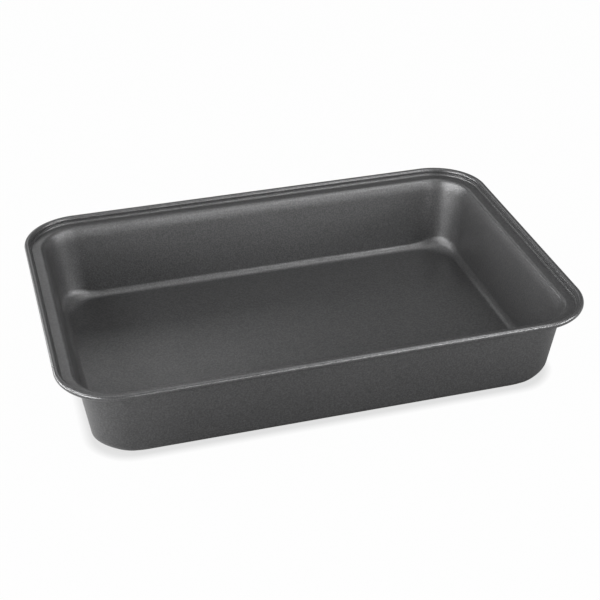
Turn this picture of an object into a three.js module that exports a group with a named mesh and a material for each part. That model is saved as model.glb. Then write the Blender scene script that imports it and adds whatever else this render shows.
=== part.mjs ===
// Roasting pan: one deep-drawn sheet of coated steel, whose flange steps up into a bead that is
// rolled over a closed ring of steel wire. Millimetres, +Z up, the long side along X, and the
// origin on the table under the middle of the floor.
import * as THREE from 'three';

// Overall sizes, taken over the bead
const rimLength = 380;
const rimWidth = 263;
const panHeight = 65;
const rimCornerRadius = 42.5;

// Drawn body: bend radii are those of the inside of the bend. The walls lean out gently over a
// shoulder near their top before they bend sharply into the flange.
const sheetThickness = 0.6;
const wallDraftDegrees = 8;
const wallFootCornerRadius = 25;
const floorBendRadius = 6;
const cornerFloorBendRadius = 13;
const cornerLead = 10;
const shoulderRadius = 45;
const shoulderTurnDegrees = 11;
const wallTopBendRadius = 2.3;

// Stepped flange, from the wall out to the bead
const flangeFlat = 5.6;
const stepBendRadius = 0.3;
const stepRiserFlat = 0.1;
const ledgeFlat = 0.2;

// Rolled bead and the wire in it
const wireDiameter = 2.7;
const wireClearance = 0.3;
const neckBendRadius = 0.3;
const neckAngleDegrees = 38;
const curlPastBottomDegrees = 10;

// Facets
const cornerSegments = 10;
const wireFacets = 16;
const bendFacetDegrees = 20;
const shoulderFacetDegrees = 4;
const creaseFacetDegrees = 30;

// Finishes
const coatingFinish = { color: 0x45464a, roughness: 0.42, metalness: 0.35 };
const wireFinish = { color: 0x9a9c9e, roughness: 0.35, metalness: 1 };

const radians = THREE.MathUtils.degToRad;
const wireRadius = wireDiameter / 2;
const curlInsideRadius = wireRadius + wireClearance;
const beadRadius = curlInsideRadius + sheetThickness;
const quarterTurn = 90;
const fullTurn = 360;
const cornerSigns = [[1, 1], [-1, 1], [-1, -1], [1, -1]];
const corners = cornerSigns.length;

// Bends the sheet step by step along its middle, from the edge of the flat floor out to the end of
// the curl. Heading 0 runs outwards and a positive bend turns upwards, so the coated upper face is
// always on the left of the way taken.
function bendSheet(floorRadius, wallFlat) {
  const stations = [];
  const place = new THREE.Vector2(0, sheetThickness / 2);
  let heading = 0;

  const mark = () => stations.push({ place: place.clone(), heading });

  const run = (length) => {
    place.x += length * Math.cos(heading);
    place.y += length * Math.sin(heading);
    mark();
  };

  const bend = (insideRadius, degrees, facetDegrees) => {
    const arm = Math.sign(degrees) * (insideRadius + sheetThickness / 2);
    const centre = new THREE.Vector2(place.x - arm * Math.sin(heading), place.y + arm * Math.cos(heading));
    const facets = Math.ceil(Math.abs(degrees) / facetDegrees);
    for (let i = 0; i < facets; i += 1) {
      heading += radians(degrees / facets);
      place.set(centre.x + arm * Math.sin(heading), centre.y - arm * Math.cos(heading));
      mark();
    }
    return centre;
  };

  const wallTurn = quarterTurn - wallDraftDegrees;
  const neckTurn = quarterTurn + neckAngleDegrees;
  const curlTurns = [neckTurn, quarterTurn, quarterTurn, curlPastBottomDegrees];

  mark();
  bend(floorRadius, wallTurn, bendFacetDegrees);
  const wallFoot = stations.at(-1);
  run(wallFlat);
  bend(shoulderRadius, -shoulderTurnDegrees, shoulderFacetDegrees);
  bend(wallTopBendRadius, shoulderTurnDegrees - wallTurn, bendFacetDegrees);
  run(flangeFlat);
  const flange = stations.at(-1);
  bend(stepBendRadius, quarterTurn, creaseFacetDegrees);
  run(stepRiserFlat);
  bend(stepBendRadius, -quarterTurn, creaseFacetDegrees);
  run(ledgeFlat);
  bend(neckBendRadius, neckTurn, creaseFacetDegrees);
  const [bead] = curlTurns.map((turn) => bend(curlInsideRadius, -turn, bendFacetDegrees));
  return { stations, wallFoot, flange, bead, rimEdge: bead.x + beadRadius };
}

// The wall is as tall as the rest of the section leaves room for under the top of the bead.
function drawSection(floorRadius) {
  const wallRise = panHeight - beadRadius - bendSheet(floorRadius, 0).bead.y;
  return bendSheet(floorRadius, wallRise / Math.cos(radians(wallDraftDegrees)));
}

// A point on one face of the sheet, as its inset from the rim's outer edge and its height.
function facePoint({ rimEdge }, { place, heading }, offset) {
  const outwards = place.x - offset * Math.sin(heading);
  return { inset: rimEdge - outwards, height: place.y + offset * Math.cos(heading) };
}

// The wall's outer face, carried straight down to the table, sets how much rounder the corners get.
const sideSection = drawSection(floorBendRadius);
const footPoint = facePoint(sideSection, sideSection.wallFoot, -sheetThickness / 2);
const footInset = footPoint.inset + footPoint.height * Math.tan(radians(wallDraftDegrees));
const cornerGain = wallFootCornerRadius - (rimCornerRadius - footInset);
const flangeHeight = sideSection.flange.place.y;

// Corners follow the rim's at a constant distance down to the flange. Below it they grow rounder,
// as a deep draw leaves them.
function cornerRadius({ inset, height }) {
  const depth = THREE.MathUtils.clamp(1 - height / flangeHeight, 0, 1);
  return rimCornerRadius - inset + cornerGain * depth;
}

// The stops of one turn round the pan: each corner's arc, and a lead on the straight side before and
// after it. The floor bend opens out smoothly from the leads to the middle of the corner.
function stopsRoundPan() {
  const halfArc = radians(quarterTurn / 2) * wallFootCornerRadius;
  const stops = [];
  for (let corner = 0; corner < corners; corner += 1) {
    const start = quarterTurn * corner;
    stops.push({ corner, turn: radians(start), lead: -cornerLead, opening: 0 });
    for (let i = 0; i <= cornerSegments; i += 1) {
      const share = i / cornerSegments;
      const away = Math.abs(2 * share - 1) * halfArc / (halfArc + cornerLead);
      const opening = (1 + Math.cos(Math.PI * away)) / 2;
      stops.push({ corner, turn: radians(start + quarterTurn * share), lead: 0, opening });
    }
    stops.push({ corner, turn: radians(start + quarterTurn), lead: cornerLead, opening: 0 });
  }
  return stops;
}

// Where a point of the section lies at one stop.
function placeAt({ corner, turn, lead }, point) {
  const radius = cornerRadius(point);
  const x = (rimLength / 2 - point.inset - radius) * cornerSigns[corner][0];
  const y = (rimWidth / 2 - point.inset - radius) * cornerSigns[corner][1];
  return new THREE.Vector3(
    x + radius * Math.cos(turn) - lead * Math.sin(turn),
    y + radius * Math.sin(turn) + lead * Math.cos(turn),
    point.height,
  );
}

// Skins neighbouring outlines with triangles that face the left of the way from one to the next.
function skin(from, to, count) {
  const triangles = [];
  for (let i = 0; i < count; i += 1) {
    const next = (i + 1) % count;
    triangles.push(from + i, to + i, to + next);
    triangles.push(from + i, to + next, from + next);
  }
  return triangles;
}

function solid(points, triangles) {
  const geometry = new THREE.BufferGeometry().setFromPoints(points);
  geometry.setIndex(triangles);
  geometry.computeVertexNormals();
  return geometry;
}

// The pan: up the coated face from the floor to the end of the curl, and back down the other face.
function panGeometry(stops) {
  const sides = stops.map((stop) => {
    const section = drawSection(THREE.MathUtils.lerp(floorBendRadius, cornerFloorBendRadius, stop.opening));
    const upper = section.stations.map((station) => facePoint(section, station, sheetThickness / 2));
    const under = section.stations.map((station) => facePoint(section, station, -sheetThickness / 2));
    return [...upper, ...under.reverse()].map((point) => placeAt(stop, point));
  });
  const count = stops.length;
  const rings = sides[0].map((_, i) => sides.map((side) => side[i]));
  const points = rings.flat();
  const triangles = [];
  for (let i = 1; i < rings.length; i += 1) {
    triangles.push(...skin((i - 1) * count, i * count, count));
  }

  const floorCentre = points.push(new THREE.Vector3(0, 0, sheetThickness)) - 1;
  const baseCentre = points.push(new THREE.Vector3(0, 0, 0)) - 1;
  const lastRing = (rings.length - 1) * count;
  for (let i = 0; i < count; i += 1) {
    const next = (i + 1) % count;
    triangles.push(floorCentre, i, next);
    triangles.push(baseCentre, lastRing + next, lastRing + i);
  }
  return solid(points, triangles);
}

// The wire: a closed ring, centred in the bead all the way round.
function wireGeometry(stops) {
  const count = stops.length;
  const points = [];
  const triangles = [];
  for (let i = 0; i < wireFacets; i += 1) {
    const turn = radians(-fullTurn * i / wireFacets);
    const inset = beadRadius - wireRadius * Math.cos(turn);
    const height = panHeight - beadRadius + wireRadius * Math.sin(turn);
    points.push(...stops.map((stop) => placeAt(stop, { inset, height })));
    triangles.push(...skin(i * count, ((i + 1) % wireFacets) * count, count));
  }
  return solid(points, triangles);
}

const stops = stopsRoundPan();
const panShell = new THREE.Mesh(panGeometry(stops), new THREE.MeshStandardMaterial(coatingFinish));
panShell.name = 'pan_shell';

const rimWire = new THREE.Mesh(wireGeometry(stops), new THREE.MeshStandardMaterial(wireFinish));
rimWire.name = 'rim_wire';

const roastingPan = new THREE.Group();
roastingPan.add(panShell, rimWire);

export default roastingPan;
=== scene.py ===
"""Roasting pan: the fine coated sheet, the wire in its rim, and a plain studio to see them in.

The pan is one sheet of steel. Its middle line is bent step by step from the floor out to the curl,
lofted round the pan, and given its thickness. All sizes are in metres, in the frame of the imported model.
"""
import math
from collections import namedtuple

import bmesh
import bpy
from bpy.props import FloatProperty, FloatVectorProperty, PointerProperty
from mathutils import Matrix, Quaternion, Vector


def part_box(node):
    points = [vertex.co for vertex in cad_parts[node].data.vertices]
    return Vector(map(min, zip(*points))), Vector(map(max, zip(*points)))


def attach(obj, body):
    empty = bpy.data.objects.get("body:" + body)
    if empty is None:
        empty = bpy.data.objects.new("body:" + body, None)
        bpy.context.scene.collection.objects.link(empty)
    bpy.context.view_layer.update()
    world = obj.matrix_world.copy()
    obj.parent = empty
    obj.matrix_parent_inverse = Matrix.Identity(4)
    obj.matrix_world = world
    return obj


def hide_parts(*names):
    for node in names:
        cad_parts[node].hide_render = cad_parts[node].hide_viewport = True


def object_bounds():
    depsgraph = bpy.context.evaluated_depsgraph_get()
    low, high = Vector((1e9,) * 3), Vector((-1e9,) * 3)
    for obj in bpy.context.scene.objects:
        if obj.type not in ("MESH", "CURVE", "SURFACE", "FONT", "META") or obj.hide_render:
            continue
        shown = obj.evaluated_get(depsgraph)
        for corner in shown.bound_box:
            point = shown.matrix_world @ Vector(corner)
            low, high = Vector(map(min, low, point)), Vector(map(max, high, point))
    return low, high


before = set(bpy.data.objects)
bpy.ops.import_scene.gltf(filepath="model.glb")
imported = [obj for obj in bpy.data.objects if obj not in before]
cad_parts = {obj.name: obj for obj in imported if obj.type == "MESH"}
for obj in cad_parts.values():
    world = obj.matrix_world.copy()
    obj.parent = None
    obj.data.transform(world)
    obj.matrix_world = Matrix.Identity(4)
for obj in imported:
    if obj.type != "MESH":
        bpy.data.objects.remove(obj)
cad_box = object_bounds()

bl_info = {
    "name": "Roasting pan",
    "version": (1, 0, 0),
    "blender": (4, 5, 0),
    "location": "View3D > Sidebar > Roasting pan",
    "description": "Makes a coated roasting pan with a wired rim, and a studio round it",
    "category": "Object",
}

BODY = "root"
SHELL_NODE = "pan_shell"
WIRE_NODE = "rim_wire"

# Facets of the fine meshes
CORNER_STEPS = 36
LEAD_STEPS = 5
LONG_SIDE_STEPS = 20
SHORT_SIDE_STEPS = 12
BEND_STEP = math.radians(4)
SHOULDER_STEP = math.radians(1.5)
CREASE_STEP = math.radians(12)
CURL_STEP = math.radians(8)
WALL_STEPS = 6
FLANGE_STEPS = 2
WIRE_STEPS = 24

# A ring just inside the edge of the flat floor, which keeps the floor's shading flat
FLOOR_MARGIN = 0.003

QUARTER_TURN = math.pi / 2
UP = Vector((0.0, 0.0, 1.0))
CORNERS = ((1, 1), (-1, 1), (-1, -1), (1, -1))


def length(name, description, metres):
    """A length that the user can set, in metres."""
    return FloatProperty(
        name=name,
        description=description,
        default=metres,
        min=0.0,
        precision=5,
        unit="LENGTH",
        subtype="DISTANCE",
    )


def angle(name, description, degrees):
    """An angle that the user can set, kept in radians."""
    return FloatProperty(
        name=name,
        description=description,
        default=math.radians(degrees),
        unit="ROTATION",
        subtype="ANGLE",
    )


def share(name, description, value):
    """A number from 0 to 1 that the user can set."""
    return FloatProperty(
        name=name, description=description, default=value, min=0.0, max=1.0, subtype="FACTOR"
    )


def colour(name, description, rgb):
    """A linear colour that the user can set."""
    return FloatVectorProperty(
        name=name, description=description, default=rgb, size=3, min=0.0, max=1.0, subtype="COLOR"
    )


def power(name, description, watts):
    """A lamp's power that the user can set."""
    return FloatProperty(name=name, description=description, default=watts, min=0.0, unit="POWER")


def spot(name, description, metres):
    """A point in the frame that the user can set."""
    return FloatVectorProperty(
        name=name,
        description=description,
        default=metres,
        size=3,
        precision=4,
        unit="LENGTH",
        subtype="TRANSLATION",
    )


shell_low, shell_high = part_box(SHELL_NODE)
shell_size = shell_high - shell_low


class DrawnSheetSettings(bpy.types.PropertyGroup):
    """Sizes of the drawn sheet. Bend radii are those of the inside of the bend."""

    rim_length: length("Rim length", "Length of the pan over its bead", shell_size.x)
    rim_width: length("Rim width", "Width of the pan over its bead", shell_size.y)
    height: length("Height", "Height from the table to the top of the bead", shell_size.z)
    rim_corner_radius: length("Rim corner radius", "Corner radius over the bead, from above", 0.0425)
    thickness: length("Sheet thickness", "Thickness of the steel sheet", 0.0006)
    wall_draft: angle("Wall draft", "Lean of the walls from upright", 8)
    foot_corner_radius: length("Foot corner radius", "Corner radius of the walls at the table", 0.025)
    floor_bend_radius: length("Floor bend radius", "Bend from the floor up into the walls", 0.006)
    corner_bend_radius: length("Corner bend radius", "Bend from the floor up into the corners", 0.013)
    corner_lead: length("Corner lead", "Straight stretch where the floor bend opens out", 0.010)
    shoulder_radius: length("Shoulder radius", "Gentle outward curve at the top of the walls", 0.045)
    shoulder_turn: angle("Shoulder turn", "How far the walls lean out over the shoulder", 11)
    top_bend_radius: length("Top bend radius", "Bend from the shoulder out into the flange", 0.0023)


class WiredRimSettings(bpy.types.PropertyGroup):
    """Sizes of the stepped flange and of the bead that is rolled over the wire."""

    flange_flat: length("Flange flat", "Flat of the flange, from the wall's bend to the step", 0.0056)
    step_bend_radius: length("Step bend radius", "Bends of the step up from the flange", 0.0003)
    riser_flat: length("Riser flat", "Upright stretch of the step between its two bends", 0.0001)
    ledge_flat: length("Ledge flat", "Level stretch between the step and the bead's neck", 0.0002)
    neck_bend_radius: length("Neck bend radius", "Bend from the ledge up into the bead", 0.0003)
    neck_angle: angle("Neck angle", "How far past upright the sheet leans back into the bead", 38)
    curl_end: angle("Curl end", "How far past its lowest point the bead is rolled", 10)
    wire_diameter: length("Wire diameter", "Thickness of the wire in the bead", 0.0027)
    wire_clearance: length("Wire clearance", "Air between the wire and the sheet round it", 0.0003)


class FinishSettings(bpy.types.PropertyGroup):
    """Colours and grain of the coating and of the bare steel."""

    coating_dark: colour("Coating ground", "Colour between the flecks", (0.0575, 0.0575, 0.0585))
    coating_light: colour("Coating flecks", "Colour of the metallic flecks", (0.0895, 0.0895, 0.0905))
    fleck_size: length("Fleck size", "Size of the grain in the coating", 0.0012)
    coating_roughness: share("Coating roughness", "Roughness of the satin coating", 0.37)
    coating_metal: share("Coating metal", "How much of the coating shines as metal does", 0.6)
    grain_depth: length("Grain depth", "Height of the coating's fine grain", 0.00016)
    bead_roughness: share("Bead roughness", "Roughness of the coating on the rolled bead", 0.30)
    bead_grain: share("Bead grain", "How much of the grain is left on the rolled bead", 0.4)
    steel: colour("Bare steel", "Colour of the wire and of the sheet's cut edge", (0.55, 0.555, 0.56))


class StudioSettings(bpy.types.PropertyGroup):
    """The floor, the lights and the camera."""

    floor_colour: colour("Floor colour", "Colour of the floor as it lights the pan", (0.15, 0.15, 0.15))
    floor_white: share("Floor white", "How much of the floor is plain white to the eye", 0.985)
    contact_white: share("Contact white", "How white the floor stays where the pan meets it", 0.70)
    floor_mirrored: share("Floor mirrored", "How much of the floor is plain white in reflections", 0.6)
    # Painted light: lightens the floor left of the pan in reflections, as if light fell there from the
    # left
    painted_left_light: share("Left glow", "How much whiter the floor left of the pan is in reflections", 0.8)
    contact_reach: length("Contact reach", "How far the pan darkens the floor to the eye", 0.009)
    shade_reach: length("Shade reach", "How far the pan darkens the floor in reflections", 0.1)
    surroundings: share("Surroundings", "Light of the plain grey surroundings", 0.336)
    back_surroundings: share("Back surroundings", "Light of the surroundings low behind the pan", 0.064)
    left_power: power("Left softbox", "Power of the low softbox on the left", 13.8)
    back_left_power: power("Back left softbox", "Power of the softbox at the back left", 4.0)
    high_left_power: power("High left softbox", "Power of the high softbox on the left", 9.0)
    front_left_power: power("Front left softbox", "Power of the low softbox at the front left", 18.5)
    front_power: power("Front softbox", "Power of the low softbox at the front", 3.0)
    front_right_power: power("Front right softbox", "Power of the softbox at the front right", 6.0)
    right_power: power("Right softbox", "Power of the low softbox on the right", 12.0)
    high_right_power: power("High right softbox", "Power of the high softbox on the right", 4.6)
    back_power: power("Back softbox", "Power of the high softbox at the back", 1.15)
    top_power: power("Top softbox", "Power of the large softbox overhead", 4.5)
    camera_place: spot("Camera place", "Where the camera stands", (-0.2305, -0.8560, 0.5706))
    camera_aim: spot("Camera aim", "The point that the camera looks at", (0.0058, 0.0029, 0.0325))
    camera_roll: angle("Camera roll", "Turn of the camera round its own view", -0.71)
    camera_lens: FloatProperty(
        name="Camera lens", description="Focal length on a 36 mm sensor", default=81.87, unit="CAMERA"
    )


# The sheet's section

Section = namedtuple("Section", "line wall_foot flange_height bead rim_edge")


class SheetBender:
    """Bends the middle line of a sheet. Heading 0 runs outwards and a positive angle turns upwards."""

    def __init__(self, thickness):
        self.half_thickness = thickness / 2
        self.place = Vector((0.0, self.half_thickness))
        self.heading = 0.0
        self.line = [self.place.copy()]

    def run(self, distance, steps=1):
        """Carries the sheet straight on."""
        step = Vector((math.cos(self.heading), math.sin(self.heading))) * (distance / steps)
        for _ in range(steps):
            self.place = self.place + step
            self.line.append(self.place.copy())

    def bend(self, inside_radius, turn, largest_step):
        """Bends the sheet about a centre on one side of it, and returns that centre."""
        arm = math.copysign(inside_radius + self.half_thickness, turn)
        centre = self.place + arm * Vector((-math.sin(self.heading), math.cos(self.heading)))
        steps = math.ceil(abs(turn) / largest_step)
        for _ in range(steps):
            self.heading += turn / steps
            self.place = centre + arm * Vector((math.sin(self.heading), -math.cos(self.heading)))
            self.line.append(self.place.copy())
        return centre


def curl_inside_radius(rim):
    return rim.wire_diameter / 2 + rim.wire_clearance


def bead_radius(sheet, rim):
    return curl_inside_radius(rim) + sheet.thickness


def bend_sheet(sheet, rim, floor_radius, wall_flat):
    """The sheet's section, from the edge of the flat floor out to the cut edge under the curl."""
    bender = SheetBender(sheet.thickness)
    wall_turn = QUARTER_TURN - sheet.wall_draft
    neck_turn = QUARTER_TURN + rim.neck_angle
    bender.bend(floor_radius, wall_turn, BEND_STEP)
    wall_foot = bender.place
    bender.run(wall_flat, WALL_STEPS)
    bender.bend(sheet.shoulder_radius, -sheet.shoulder_turn, SHOULDER_STEP)
    bender.bend(sheet.top_bend_radius, sheet.shoulder_turn - wall_turn, BEND_STEP)
    bender.run(rim.flange_flat, FLANGE_STEPS)
    flange_height = bender.place.y
    bender.bend(rim.step_bend_radius, QUARTER_TURN, CREASE_STEP)
    bender.run(rim.riser_flat)
    bender.bend(rim.step_bend_radius, -QUARTER_TURN, CREASE_STEP)
    bender.run(rim.ledge_flat)
    bender.bend(rim.neck_bend_radius, neck_turn, CREASE_STEP)
    for turn in (neck_turn, QUARTER_TURN, QUARTER_TURN, rim.curl_end):
        bead = bender.bend(curl_inside_radius(rim), -turn, CURL_STEP)
    return Section(bender.line, wall_foot, flange_height, bead, bead.x + bead_radius(sheet, rim))


def draw_section(sheet, rim, floor_radius):
    """The section with its wall as tall as the height over the bead leaves room for."""
    rise = sheet.height - bead_radius(sheet, rim) - bend_sheet(sheet, rim, floor_radius, 0.0).bead.y
    return bend_sheet(sheet, rim, floor_radius, rise / math.cos(sheet.wall_draft))


# The way round the pan

Stop = namedtuple("Stop", "corner turn lead opening")


def stops_round_pan(sheet):
    """The stops of one turn round the pan, with how far the floor bend has opened out at each."""
    half_arc = QUARTER_TURN / 2 * sheet.foot_corner_radius

    def opening(distance):
        """1 in the middle of a corner, falling smoothly to 0 at the end of its lead."""
        return (1 + math.cos(math.pi * min(1.0, distance / (half_arc + sheet.corner_lead)))) / 2

    stops = []
    for corner in range(len(CORNERS)):
        start = corner * QUARTER_TURN
        for i in range(LEAD_STEPS, 0, -1):
            lead = sheet.corner_lead * i / LEAD_STEPS
            stops.append(Stop(corner, start, -lead, opening(half_arc + lead)))
        for i in range(CORNER_STEPS + 1):
            way = i / CORNER_STEPS
            from_middle = abs(2 * way - 1) * half_arc
            stops.append(Stop(corner, start + QUARTER_TURN * way, 0.0, opening(from_middle)))
        end = start + QUARTER_TURN
        for i in range(1, LEAD_STEPS + 1):
            lead = sheet.corner_lead * i / LEAD_STEPS
            stops.append(Stop(corner, end, lead, opening(half_arc + lead)))
    return stops


class PanOutline:
    """Places points of the section round the pan. Corners grow rounder from the flange down."""

    def __init__(self, sheet, rim):
        side = draw_section(sheet, rim, sheet.floor_bend_radius)
        foot_reach = side.wall_foot.x + sheet.thickness / 2 * math.cos(sheet.wall_draft)
        foot_height = side.wall_foot.y - sheet.thickness / 2 * math.sin(sheet.wall_draft)
        foot_inset = side.rim_edge - foot_reach + foot_height * math.tan(sheet.wall_draft)
        self.sheet = sheet
        self.flange_height = side.flange_height
        self.corner_gain = sheet.foot_corner_radius - (sheet.rim_corner_radius - foot_inset)

    def corner_radius(self, inset, height):
        depth = min(1.0, max(0.0, 1 - height / self.flange_height))
        return self.sheet.rim_corner_radius - inset + self.corner_gain * depth

    def place(self, stop, inset, height):
        radius = self.corner_radius(inset, height)
        along = Vector((math.cos(stop.turn), math.sin(stop.turn), 0.0))
        across = Vector((-along.y, along.x, 0.0))
        sign_x, sign_y = CORNERS[stop.corner]
        centre = Vector((
            sign_x * (self.sheet.rim_length / 2 - inset - radius),
            sign_y * (self.sheet.rim_width / 2 - inset - radius),
            height,
        ))
        return centre + radius * along + stop.lead * across

    def ring(self, stops, insets, heights):
        """One closed ring of points, with extra ones on the sides. Even corners lead to a long side."""
        ends = [self.place(*each) for each in zip(stops, insets, heights)]
        points = []
        for i, stop in enumerate(stops):
            points.append(ends[i])
            after = stops[(i + 1) % len(stops)]
            if after.corner != stop.corner:
                following = ends[(i + 1) % len(stops)]
                steps = LONG_SIDE_STEPS if stop.corner % 2 == 0 else SHORT_SIDE_STEPS
                points += [ends[i].lerp(following, k / steps) for k in range(1, steps)]
        return points


def bridge(mesh, inner, outer):
    """Lays faces between two rings, with their fronts to the left of the way from inner to outer."""
    count = len(inner)
    for i in range(count):
        following = (i + 1) % count
        mesh.faces.new((inner[i], outer[i], outer[following], inner[following]))


def new_piece(name, mesh, node, *materials):
    """Makes a piece from a bmesh. It stands for one node and rides on the pan's only body."""
    data = bpy.data.meshes.new(name)
    mesh.to_mesh(data)
    mesh.free()
    for material in materials:
        data.materials.append(material)
    piece = bpy.data.objects.new(name, data)
    bpy.context.scene.collection.objects.link(piece)
    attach(piece, BODY)
    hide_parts(node)
    return piece


# Finishes

# The flange's finish turns into the bead's over this rise
STEP_RISE = 0.001

ROUGHNESS_DRIFT = 0.03
CLOUDS_PER_METRE = 28.0
SCRATCHES_PER_METRE = 900.0
STEEL_ROUGHNESS = (0.28, 0.45)
DULL_STEEL = 0.8

# The sheet's cut edge shows the second of the shell's materials, bare steel
CUT_EDGE_MATERIAL = 1

# Noise values: where the ground ends and a fleck begins, and the range that most of them lie in
FLECK_EDGES = (0.38, 0.66)
NOISE_RANGE = (0.3, 0.7)

# Places of a mix node's colour sockets, which share their names with those for numbers
MIX_FACTOR = 0
MIX_FIRST = 6
MIX_SECOND = 7
MIX_RESULT = 2


class NodeBoard:
    """A short way to lay out the nodes of one material or world."""

    def __init__(self, owner):
        owner.use_nodes = True
        self.tree = owner.node_tree
        self.tree.nodes.clear()

    def feed(self, socket, value):
        """Links a node's output to a socket, or writes any other value into it."""
        if isinstance(value, bpy.types.NodeSocket):
            self.tree.links.new(value, socket)
        else:
            socket.default_value = value

    def add(self, kind, **inputs):
        """A node with its sockets fed by name."""
        node = self.tree.nodes.new(kind)
        for name, value in inputs.items():
            self.feed(node.inputs[name.replace("_", " ")], value)
        return node

    def mix_colours(self, factor, first, second):
        node = self.tree.nodes.new("ShaderNodeMix")
        node.data_type = "RGBA"
        self.tree.links.new(factor, node.inputs[MIX_FACTOR])
        node.inputs[MIX_FIRST].default_value = (*first, 1.0)
        node.inputs[MIX_SECOND].default_value = (*second, 1.0)
        return node.outputs[MIX_RESULT]

    def calculate(self, operation, first, second):
        node = self.tree.nodes.new("ShaderNodeMath")
        node.operation = operation
        for socket, value in zip(node.inputs, (first, second)):
            self.feed(socket, value)
        return node.outputs[0]

    def noise(self, place, scale, detail, roughness):
        node = self.add(
            "ShaderNodeTexNoise", Vector=place, Scale=scale, Detail=detail, Roughness=roughness
        )
        return node.outputs["Fac"]

    def remap(self, value, from_low, from_high, to_low, to_high):
        node = self.add(
            "ShaderNodeMapRange",
            Value=value,
            From_Min=from_low,
            From_Max=from_high,
            To_Min=to_low,
            To_Max=to_high,
        )
        return node.outputs["Result"]


def coating_material(finish, flange_height):
    """Satin non-stick coating: a dark ground, a metallic fleck and a grain, smoother on the bead."""
    material = bpy.data.materials.new("satin_coating")
    board = NodeBoard(material)
    place = board.add("ShaderNodeTexCoord").outputs["Object"]
    fleck = board.noise(place, 1 / finish.fleck_size, detail=2.0, roughness=0.6)
    cloud = board.noise(place, CLOUDS_PER_METRE, detail=3.0, roughness=0.5)
    amount = board.remap(fleck, *FLECK_EDGES, 0.0, 1.0)
    base = board.mix_colours(amount, finish.coating_dark, finish.coating_light)
    height = board.add("ShaderNodeSeparateXYZ", Vector=place).outputs["Z"]
    step = (flange_height, flange_height + STEP_RISE)
    grain = board.remap(height, *step, 1.0, finish.bead_grain)
    level = board.remap(height, *step, finish.coating_roughness, finish.bead_roughness)
    drift = board.remap(cloud, *NOISE_RANGE, -ROUGHNESS_DRIFT, ROUGHNESS_DRIFT)
    rough = board.calculate("ADD", level, drift)
    bump = board.add("ShaderNodeBump", Strength=grain, Distance=finish.grain_depth, Height=fleck)
    shader = board.add(
        "ShaderNodeBsdfPrincipled",
        Base_Color=base,
        Roughness=rough,
        Metallic=finish.coating_metal,
        Normal=bump.outputs["Normal"],
    )
    board.add("ShaderNodeOutputMaterial", Surface=shader.outputs["BSDF"])
    return material


def steel_material(finish):
    """Bare drawn steel: fine scratches in the colour and the roughness."""
    material = bpy.data.materials.new("bare_steel")
    board = NodeBoard(material)
    place = board.add("ShaderNodeTexCoord").outputs["Object"]
    scratch = board.noise(place, SCRATCHES_PER_METRE, detail=4.0, roughness=0.7)
    dull = [DULL_STEEL * value for value in finish.steel]
    base = board.mix_colours(scratch, dull, finish.steel)
    rough = board.remap(scratch, *NOISE_RANGE, *STEEL_ROUGHNESS)
    shader = board.add("ShaderNodeBsdfPrincipled", Base_Color=base, Roughness=rough, Metallic=1.0)
    board.add("ShaderNodeOutputMaterial", Surface=shader.outputs["BSDF"])
    return material


class PressShell(bpy.types.Operator):
    """Draw the sheet into the pan and roll its edge into the bead"""

    bl_idname = "roasting_pan.press_shell"
    bl_label = "Press the shell"
    bl_options = {"REGISTER", "UNDO"}

    def execute(self, context):
        sheet = context.scene.pan_sheet
        rim = context.scene.pan_rim
        finish = context.scene.pan_finish
        outline = PanOutline(sheet, rim)
        stops = stops_round_pan(sheet)
        spread = sheet.corner_bend_radius - sheet.floor_bend_radius
        bends = [sheet.floor_bend_radius + spread * stop.opening for stop in stops]
        sections = [draw_section(sheet, rim, bend) for bend in bends]

        mesh = bmesh.new()

        def lay_ring(station, extra_inset=0.0):
            insets = [section.rim_edge - section.line[station].x + extra_inset for section in sections]
            heights = [section.line[station].y for section in sections]
            return [mesh.verts.new(point) for point in outline.ring(stops, insets, heights)]

        rings = [lay_ring(0, FLOOR_MARGIN)]
        rings += [lay_ring(station) for station in range(len(sections[0].line))]
        mesh.faces.new(rings[0])
        for inner, outer in zip(rings, rings[1:]):
            bridge(mesh, inner, outer)
        mesh.normal_update()
        for face in mesh.faces:
            face.smooth = True

        coating = coating_material(finish, outline.flange_height)
        shell = new_piece("coated_shell", mesh, SHELL_NODE, coating, steel_material(finish))
        sides = shell.modifiers.new("sheet_thickness", "SOLIDIFY")
        sides.thickness = sheet.thickness
        sides.offset = 0.0
        sides.use_even_offset = True
        sides.use_quality_normals = True
        sides.material_offset_rim = CUT_EDGE_MATERIAL
        return {"FINISHED"}


class LayWire(bpy.types.Operator):
    """Lay the closed ring of wire in the bead"""

    bl_idname = "roasting_pan.lay_wire"
    bl_label = "Lay the wire"
    bl_options = {"REGISTER", "UNDO"}

    def execute(self, context):
        sheet = context.scene.pan_sheet
        rim = context.scene.pan_rim
        outline = PanOutline(sheet, rim)
        stops = stops_round_pan(sheet)
        bead = bead_radius(sheet, rim)
        wire_radius = rim.wire_diameter / 2

        mesh = bmesh.new()
        rings = []
        for i in range(WIRE_STEPS):
            turn = math.tau * i / WIRE_STEPS
            inset = bead - wire_radius * math.cos(turn)
            height = sheet.height - bead - wire_radius * math.sin(turn)
            points = outline.ring(stops, [inset] * len(stops), [height] * len(stops))
            rings.append([mesh.verts.new(point) for point in points])
        for i, ring in enumerate(rings):
            bridge(mesh, ring, rings[(i + 1) % WIRE_STEPS])
        mesh.normal_update()
        for face in mesh.faces:
            face.smooth = True
        new_piece("wire_ring", mesh, WIRE_NODE, steel_material(context.scene.pan_finish))
        return {"FINISHED"}


# The studio

FLOOR_HALF_SIZE = 6.0

# The floor lies this far below the base, so that the two faces don't share a plane
FLOOR_GAP = 0.0001

# Share of open sky over the floor at which the pan's shade on it is deepest
DARKEST_SKY = 0.5

# Painted light: the floor is whiter in reflections from just left of the pan, fading towards its middle
PAINTED_LIGHT_MARGIN = 0.01
PAINTED_LIGHT_FADE = 0.1
PAINTED_LIGHT_EDGE = cad_box[0].x - PAINTED_LIGHT_MARGIN

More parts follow.
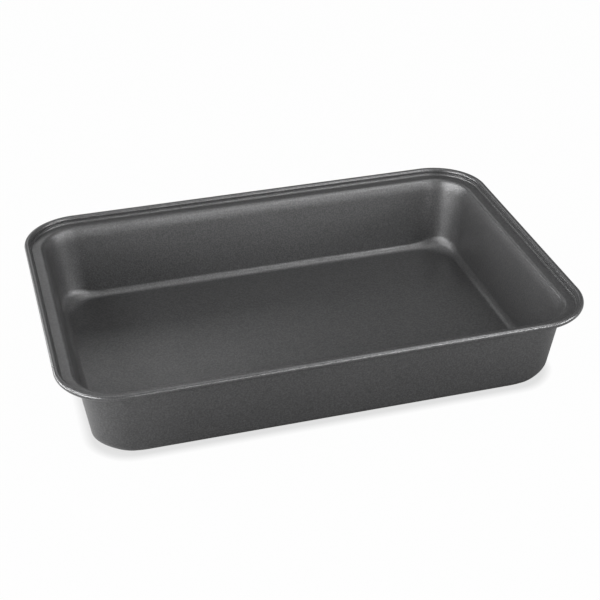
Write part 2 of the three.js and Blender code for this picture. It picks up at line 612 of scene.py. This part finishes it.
# Parts of a direction along +Y and +Z between which the surroundings darken
BACKWARDS = (0.3, 0.75)
UPWARDS = (math.sin(math.radians(10)), math.sin(math.radians(30)))

Softbox = namedtuple("Softbox", "name power bearing rise distance width height")

# Each softbox faces the pan from a bearing, turned from +X towards +Y, and a rise, both in degrees
SOFTBOXES = (
    Softbox("left_softbox", "left_power", 169, 7, 1.3, 0.80, 0.20),
    Softbox("back_left_softbox", "back_left_power", 140, 9, 1.3, 0.35, 0.26),
    Softbox("high_left_softbox", "high_left_power", 180, 40, 1.3, 0.50, 0.35),
    Softbox("front_left_softbox", "front_left_power", 209.5, 12, 1.3, 0.70, 0.40),
    Softbox("front_softbox", "front_power", 279, 10, 1.2, 0.45, 0.14),
    Softbox("front_right_softbox", "front_right_power", 297, 27, 1.2, 0.36, 0.20),
    Softbox("right_softbox", "right_power", 330, 14, 1.3, 0.65, 0.25),
    Softbox("high_right_softbox", "high_right_power", 330, 60, 1.3, 0.50, 0.40),
    Softbox("back_softbox", "back_power", 95, 32, 1.3, 0.60, 0.40),
    Softbox("top_softbox", "top_power", 270, 85, 1.27, 1.20, 1.00),
)


def floor_material(studio):
    """A floor that is white to the eye and pale in reflections, and keeps the shade of the pan, with
    painted light on its left in reflections.
    """
    material = bpy.data.materials.new("pale_floor")
    board = NodeBoard(material)
    path = board.add("ShaderNodeLightPath").outputs

    def white_share(ray, reach, least, most):
        open_sky = board.add("ShaderNodeAmbientOcclusion", Distance=reach).outputs["AO"]
        return board.calculate("MULTIPLY", ray, board.remap(open_sky, DARKEST_SKY, 1.0, least, most))

    mirrored_ray = board.calculate("MAXIMUM", path["Is Glossy Ray"], path["Is Transmission Ray"])
    seen_ray = path["Is Camera Ray"]
    seen = white_share(seen_ray, studio.contact_reach, studio.contact_white, studio.floor_white)
    mirrored = white_share(mirrored_ray, studio.shade_reach, 0.0, studio.floor_mirrored)
    place = board.add("ShaderNodeTexCoord").outputs["Object"]
    across = board.add("ShaderNodeSeparateXYZ", Vector=place).outputs["X"]
    # Painted light: the floor left of the pan is whiter in reflections, fading towards the pan's middle
    painted_light = board.remap(across, PAINTED_LIGHT_EDGE, PAINTED_LIGHT_EDGE + PAINTED_LIGHT_FADE, studio.painted_left_light, 0.0)
    painted_light_in_reflections = board.calculate("MULTIPLY", mirrored_ray, painted_light)
    part = board.calculate("ADD", seen, board.calculate("ADD", mirrored, painted_light_in_reflections))
    lit = board.add("ShaderNodeBsdfDiffuse", Color=(*studio.floor_colour, 1.0))
    white = board.add("ShaderNodeEmission", Strength=1.0)
    mixed = board.add("ShaderNodeMixShader", Fac=part)
    board.tree.links.new(lit.outputs[0], mixed.inputs[1])
    board.tree.links.new(white.outputs[0], mixed.inputs[2])
    board.add("ShaderNodeOutputMaterial", Surface=mixed.outputs[0])
    return material


def lay_floor(studio):
    mesh = bmesh.new()
    bmesh.ops.create_grid(mesh, x_segments=1, y_segments=1, size=FLOOR_HALF_SIZE)
    data = bpy.data.meshes.new("floor")
    mesh.to_mesh(data)
    mesh.free()
    data.materials.append(floor_material(studio))
    floor = bpy.data.objects.new("floor", data)
    bpy.context.scene.collection.objects.link(floor)
    floor.location.z = cad_box[0].z - FLOOR_GAP


def light_surroundings(studio):
    """Plain grey surroundings on every side, darker low down behind the pan."""
    world = bpy.data.worlds.new("studio")
    bpy.context.scene.world = world
    board = NodeBoard(world)
    towards = board.add("ShaderNodeTexCoord").outputs["Generated"]
    parts = board.add("ShaderNodeSeparateXYZ", Vector=towards).outputs
    behind = board.remap(parts["Y"], *BACKWARDS, 0.0, 1.0)
    low = board.remap(parts["Z"], *UPWARDS, 1.0, 0.0)
    dark = board.calculate("MULTIPLY", behind, low)
    strength = board.remap(dark, 0.0, 1.0, studio.surroundings, studio.back_surroundings)
    background = board.add("ShaderNodeBackground", Color=(1.0, 1.0, 1.0, 1.0), Strength=strength)
    board.add("ShaderNodeOutputWorld", Surface=background.outputs[0])


def hang_softbox(softbox, studio, aim):
    data = bpy.data.lights.new(softbox.name, "AREA")
    data.shape = "RECTANGLE"
    data.size = softbox.width
    data.size_y = softbox.height
    data.energy = getattr(studio, softbox.power)
    lamp = bpy.data.objects.new(softbox.name, data)
    bpy.context.scene.collection.objects.link(lamp)
    bearing = math.radians(softbox.bearing)
    rise = math.radians(softbox.rise)
    level = Vector((math.cos(bearing), math.sin(bearing), 0.0))
    outwards = math.cos(rise) * level + math.sin(rise) * UP
    lamp.location = aim + softbox.distance * outwards
    lamp.rotation_mode = "QUATERNION"
    lamp.rotation_quaternion = outwards.to_track_quat("Z", "Y")


def place_camera(studio):
    data = bpy.data.cameras.new("camera")
    data.lens = studio.camera_lens
    camera = bpy.data.objects.new("camera", data)
    bpy.context.scene.collection.objects.link(camera)
    place = Vector(studio.camera_place)
    ahead = (Vector(studio.camera_aim) - place).to_track_quat("-Z", "Y")
    camera.location = place
    camera.rotation_mode = "QUATERNION"
    camera.rotation_quaternion = ahead @ Quaternion(UP, studio.camera_roll)
    bpy.context.scene.camera = camera


class SetStage(bpy.types.Operator):
    """Lay the floor, hang the lights and place the camera"""

    bl_idname = "roasting_pan.set_stage"
    bl_label = "Set the stage"
    bl_options = {"REGISTER", "UNDO"}

    def execute(self, context):
        studio = context.scene.pan_studio
        aim = (cad_box[0] + cad_box[1]) / 2
        lay_floor(studio)
        light_surroundings(studio)
        for softbox in SOFTBOXES:
            hang_softbox(softbox, studio, aim)
        place_camera(studio)
        context.scene.view_settings.view_transform = "Standard"
        return {"FINISHED"}


class RoastingPanPanel(bpy.types.Panel):
    """The pan's sizes, colours and operators"""

    bl_idname = "VIEW3D_PT_roasting_pan"
    bl_label = "Roasting pan"
    bl_space_type = "VIEW_3D"
    bl_region_type = "UI"
    bl_category = "Roasting pan"

    def draw(self, context):
        for settings, operators in (
            ("pan_sheet", (PressShell,)),
            ("pan_rim", (LayWire,)),
            ("pan_finish", ()),
            ("pan_studio", (SetStage,)),
        ):
            group = getattr(context.scene, settings)
            box = self.layout.box()
            for name in group.__annotations__:
                box.prop(group, name)
            for operator in operators:
                box.operator(operator.bl_idname)


SETTINGS = {
    "pan_sheet": DrawnSheetSettings,
    "pan_rim": WiredRimSettings,
    "pan_finish": FinishSettings,
    "pan_studio": StudioSettings,
}
CLASSES = (*SETTINGS.values(), PressShell, LayWire, SetStage, RoastingPanPanel)


def register():
    for each in CLASSES:
        bpy.utils.register_class(each)
    for name, group in SETTINGS.items():
        setattr(bpy.types.Scene, name, PointerProperty(type=group))


def unregister():
    for name in SETTINGS:
        delattr(bpy.types.Scene, name)
    for each in reversed(CLASSES):
        bpy.utils.unregister_class(each)


def main():
    register()
    bpy.ops.roasting_pan.press_shell()
    bpy.ops.roasting_pan.lay_wire()
    bpy.ops.roasting_pan.set_stage()


if __name__ == "__main__":
    main()
